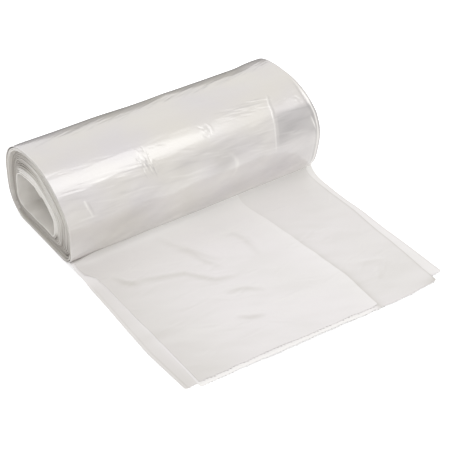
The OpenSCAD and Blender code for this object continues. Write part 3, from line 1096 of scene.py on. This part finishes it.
def sheet_relief(x, y):
    """Height of the shared waves in millimetres: none under the roll, and more in the middle."""
    calm_sides = 0.35 + 0.65 * soft_step(SIDE_X - np.abs(x), 0, SIDE_CALM)
    free = soft_step(-y, FREE_FROM, FULL_FROM) * calm_sides
    waves = 1.2 * soft_noise(x / 60 + 3, y / 34 + 2 + 0.004 * x, 31)
    waves += 0.6 * soft_noise(x / 30 + 8 + 0.02 * y, y / 15, 32)
    waves += 0.2 * soft_noise(x / 14 + 5 + 0.03 * y, y / 8 + 0.03 * x, 33)
    # Fine crumples, which run mostly along the roll.
    crumples = cluster(x, y, 34, 90, (-20, -130), (95, 75), 170, 30, (12, 40), (1.0, 2.2), (0.05, 0.18))
    crumples += cluster(x, y, 35, 30, (88, -140), (30, 80), 20, 40, (10, 30), (1.0, 2.0), (0.04, 0.14))
    return free * (WAVE_LIFT + waves + crumples) + WRINKLE_HEIGHT * wrinkled(x, y)


def spring(x, y):
    """The film leaves the roll in a low curve, because it springs away from the sharp corner."""
    height = mix(SPRING_LEFT, SPRING_RIGHT, soft_step(x, -122, -100))
    coming_down = np.exp(-np.clip(-y - SPRING_CREST, 0, None) / SPRING_DROP)
    return height * soft_step(-y, SPRING_START, SPRING_CREST) * coming_down


def loose_layer(name, number, corner, lift, tint, left, right, front, dense=()):
    """One flat layer. left and right are places y, x, and front is places x, y.

    corner is the radius of its front corners and number counts the layers from the table.
    """
    across = uneven_steps(0, 1, SHEET_COLUMNS, [(0, 0.03, 2), (1, 0.03, 2), *dense])
    front_x = mix(left[-1][1], right[-1][1], across)
    front_y = np.interp(front_x, [p[0] for p in front], [p[1] for p in front])
    # The sack before it was torn off here, so the edge is uneven.
    front_y += 0.45 * soft_noise(front_x / 9, 0 * front_x, 40 + number)
    front_y += 0.3 * soft_noise(front_x / 3.5, 0 * front_x, 50 + number)
    from_side = np.minimum(front_x - front_x[0], front_x[-1] - front_x)
    inside_corner = np.clip(corner - from_side, 0, corner)
    front_y = front_y + corner - np.sqrt(corner ** 2 - inside_corner ** 2)
    s = uneven_steps(0, 1, SHEET_ROWS, [(0.25, 0.06, 1), (1, 0.03, 2)])
    s, front_y = np.meshgrid(s, front_y, indexing="ij")
    y = mix(SHEET_BACK, front_y, s)
    left_x, right_x = edge_x(y, left), edge_x(y, right)
    x = mix(left_x, right_x, across[None, :])
    z = LAYER_STEP * number + sheet_relief(x, y) + spring(x, y)
    inward = (x - left_x, right_x - x, y - front_y)
    z += lift(x, y, *inward)
    shade, pale = tint(x, y, *inward)
    # Painted shade on the side of a fold that faces the front, and painted light behind it, because
    # the even light hardly shows the folds of milky film.
    slope = sheet_relief(x, y + 0.5) - sheet_relief(x, y - 0.5)
    shade = shade + np.clip(FOLD_CONTRAST * slope, 0, 0.5)
    pale = pale + np.clip(-FOLD_CONTRAST * slope, 0, 0.5)
    # Painted light beside the roll, which stands in for light that has passed through its turns and
    # comes out of the loose film, and painted shade left of the middle, where the roll shades it.
    near_roll = np.exp(-np.clip(-y - ROLL_FRONT, 0, None) / GLOW_FADE)
    pale = pale + 0.8 * soft_step(x, -110, -20) * near_roll
    shade = shade + 0.55 * near_roll ** 3 * (1 - soft_step(x, -10, 60)) * soft_step(x, -122, -92)
    piece = closed_film(name, np.stack([x, y, z], -1), SHEET_WALL, loose_film_skin,
                        shade=np.clip(shade, 0, 1), pale=np.clip(pale, 0, 1))
    edge = np.stack([x[-1], y[-1], z[-1] - SHEET_WALL / 2], -1)
    print(name, "front edge from", np.round(edge[0], 1), "to", np.round(edge[-1], 1))
    return piece, edge


# Each layer has a lift, which is added to its height in millimetres, and a tint, which gives its
# shade and how pale it is. Both get the place and the distance inward from the left, the right
# and the front edge.
def bottom_lift(x, y, from_left, from_right, from_front):
    # A second film under it ends a little inside the edge.
    return 0.15 * soft_step(from_left, 2.2, 3.2) * soft_step(-y, 90, 130)


def bottom_tint(x, y, from_left, from_right, from_front):
    left_side = np.exp(-(from_left / 14) ** 4)
    right_side = np.exp(-(from_right / 14) ** 4)
    toward_front = 0.75 * soft_step(-y, 62, 88) + 0.25 * soft_step(-y, 140, 222)
    shade = (0.55 * left_side + 0.3 * bump(from_left, 2.8, 0.6)) * toward_front
    shade += 0.6 * bump(from_right, 0, 1.1)
    return shade, 0.2 * left_side * (1 - toward_front) + 0.25 * right_side


def middle_lift(x, y, from_left, from_right, from_front):
    # Its right edge is folded over, so it stands up a little.
    return 0.5 * soft_step(-y, 60, 120) * bump(from_right, 0, 6)


def middle_tint(x, y, from_left, from_right, from_front):
    # Painted shadow on the middle layer beside the fold, as if the fold of the top panel shaded it.
    beside_fold = x - edge_x(y, FOLD_LINE)
    darkening = np.exp(-np.clip(beside_fold, 0, None) / 2.5) * (0.35 + 0.65 * soft_step(-y, 100, 170))
    beyond_fold = soft_step(beside_fold, -4, 2)
    shade = (0.2 + 0.7 * darkening) * beyond_fold
    # Its right edge, which is folded over, and its right front corner are darker.
    shade += 0.5 * bump(from_right, 0, 1.3)
    shade += 0.6 * bump(from_right, 0, 9) * bump(from_front, 0, 5)
    return shade, 0.8 * np.exp(-(from_front / 4) ** 4) * (1 - soft_step(x, 40, 60))


def top_lift(x, y, from_left, from_right, from_front):
    # The folded side stands up a little, because film springs back from a fold.
    fold = soft_step(-y, FREE_FROM, 110) * bump(from_right, 0, 3)
    return 0.5 * fold + 0.05


def top_tint(x, y, from_left, from_right, from_front):
    # Painted shade beside each wrinkle and a painted highlight along the fold at its right. It is also
    # darker toward its left edge.
    left_side = 0.55 * np.exp(-from_left / 45)
    return left_side + 0.3 * wrinkled(x + 2, y + 2), 0.3 * np.exp(-from_right / 12)


bottom_layer, bottom_edge = loose_layer(
    "bottom_layer", number=1, corner=2, lift=bottom_lift, tint=bottom_tint,
    left=[(SHEET_BACK, -125), (-52, -125.3), (-66, -124.6), (-78, -126), (-110, -127), (-148, -129),
          (-175, -130), (-205, -128.5), (-224, -127.5)],
    right=[(SHEET_BACK, 125), (-41, 125.3), (-64, 124.3), (-99, 124.1), (-126, 125.3), (-153, 125.8),
           (-185, 126.7), (-224, 128)],
    front=[(-130, -223.4), (-60, -224), (60, -224.6), (129, -225)])
middle_layer, middle_edge = loose_layer(
    "middle_layer", number=2, corner=1, lift=middle_lift, tint=middle_tint,
    left=[(SHEET_BACK, -122), (-45, -123.4), (-60, -121.6), (-64, -119), (-68, -115.8), (-90, -115.4),
          (-150, -116), (-228, -116.3)],
    right=[(SHEET_BACK, 117.5), (-40, 117.7), (-60, 119.2), (-112, 119.2), (-159, 118.1), (-232, 116)],
    front=[(-116.3, -227.5), (-96, -228.3), (-67, -229.5), (-30, -231.5), (9, -232.5), (40, -233.6),
           (73, -234.2), (91, -234), (116, -232.3)],
    dense=[(0.72, 0.04, 3)])
top_panel, top_edge = loose_layer(
    "top_panel", number=3, corner=1, lift=top_lift, tint=top_tint,
    left=[(SHEET_BACK, -121.4), (-45, -122.8), (-60, -121), (-64, -118.4), (-68, -115), (-92, -114.6),
          (-131, -114.9), (-196, -114.5), (-222, -114.3)],
    right=[(SHEET_BACK, 42), *FOLD_LINE],
    front=[(-114.3, -222.6), (-100.2, -223.4), (-98.8, -222), (-97.4, -223.5), (-67, -225.2),
           (-30, -227), (9, -228.6), (40, -229.6), (55.5, -230)])

# %% [markdown]
# ## The torn perforations
# One sack hangs on the next by a row of tiny bridges of film. When they tear, each leaves a
# small stretched point. They repeat along an edge, so geometry nodes set them: the front edge of
# a layer becomes a curve, steps are marked along it, and a flat four-sided cone of a random
# length is put on each step.

# %% Torn perforation teeth
TOOTH_SPACING, TOOTH_WIDTH, TOOTH_THICKNESS = 3.1, 1.5, 0.16
TOOTH_LEAST, TOOTH_MOST = 0.3, 1.5
TOOTH_MARGIN = 4


def teeth_tree():
    """Geometry nodes that put a torn tooth on each step along an edge."""
    tree, given = new_rule(
        "torn_perforation", ("Seed",), ("Spacing", "Width", "Thickness", "Least", "Most"))
    path = add(tree, "GeometryNodeMeshToCurve", {0: given["Guide"]})
    steps = add(tree, "GeometryNodeResampleCurve", {0: path.outputs[0], 3: given["Spacing"]}, mode="LENGTH")
    tooth = add(tree, "GeometryNodeMeshCone",
                {"Vertices": 4, "Radius Top": 0.0, "Radius Bottom": 0.5, "Depth": 1.0})
    length = add(tree, "FunctionNodeRandomValue", {2: given["Least"], 3: given["Most"], 8: given["Seed"]},
                 data_type="FLOAT").outputs[1]
    size = add(tree, "ShaderNodeCombineXYZ", {0: given["Width"], 1: given["Thickness"], 2: length})
    forward = add(tree, "FunctionNodeEulerToRotation", {0: (math.pi / 2, 0, 0)})
    teeth = add(tree, "GeometryNodeInstanceOnPoints",
                {0: steps.outputs[0], 2: tooth.outputs["Mesh"], 5: forward.outputs[0], 6: size.outputs[0]})
    return end_rule(tree, teeth.outputs[0], given["Film"])


def torn_teeth(name, edge, seed):
    """The teeth along one front edge, except near its corners."""
    kept = edge[(edge[:, 0] > edge[0, 0] + TOOTH_MARGIN) & (edge[:, 0] < edge[-1, 0] - TOOTH_MARGIN)]
    links = [(i, i + 1) for i in range(len(kept) - 1)]
    piece = run_tree(name, kept, links, tear, {
        "Spacing": TOOTH_SPACING * MM, "Width": TOOTH_WIDTH * MM, "Thickness": TOOTH_THICKNESS * MM,
        "Least": TOOTH_LEAST * MM, "Most": TOOTH_MOST * MM, "Seed": seed, "Film": loose_film_skin})
    print(name, "has", len(piece.data.polygons) // 5, "teeth")
    return piece


tear = teeth_tree()
bottom_teeth = torn_teeth("bottom_teeth", bottom_edge, 1)
middle_teeth = torn_teeth("middle_teeth", middle_edge, 2)
top_teeth = torn_teeth("top_teeth", top_edge, 3)

# %% [markdown]
# ## Rides
# Every piece rides on the roll's only body, and together they stand for the imported solid.

# %% Ride, and hide the solid
pieces = [outer_turn, wound_turns, bottom_layer, middle_layer, top_panel,
          bottom_teeth, middle_teeth, top_teeth]
for piece in pieces:
    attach(piece, "root")
    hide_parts("bag_roll")
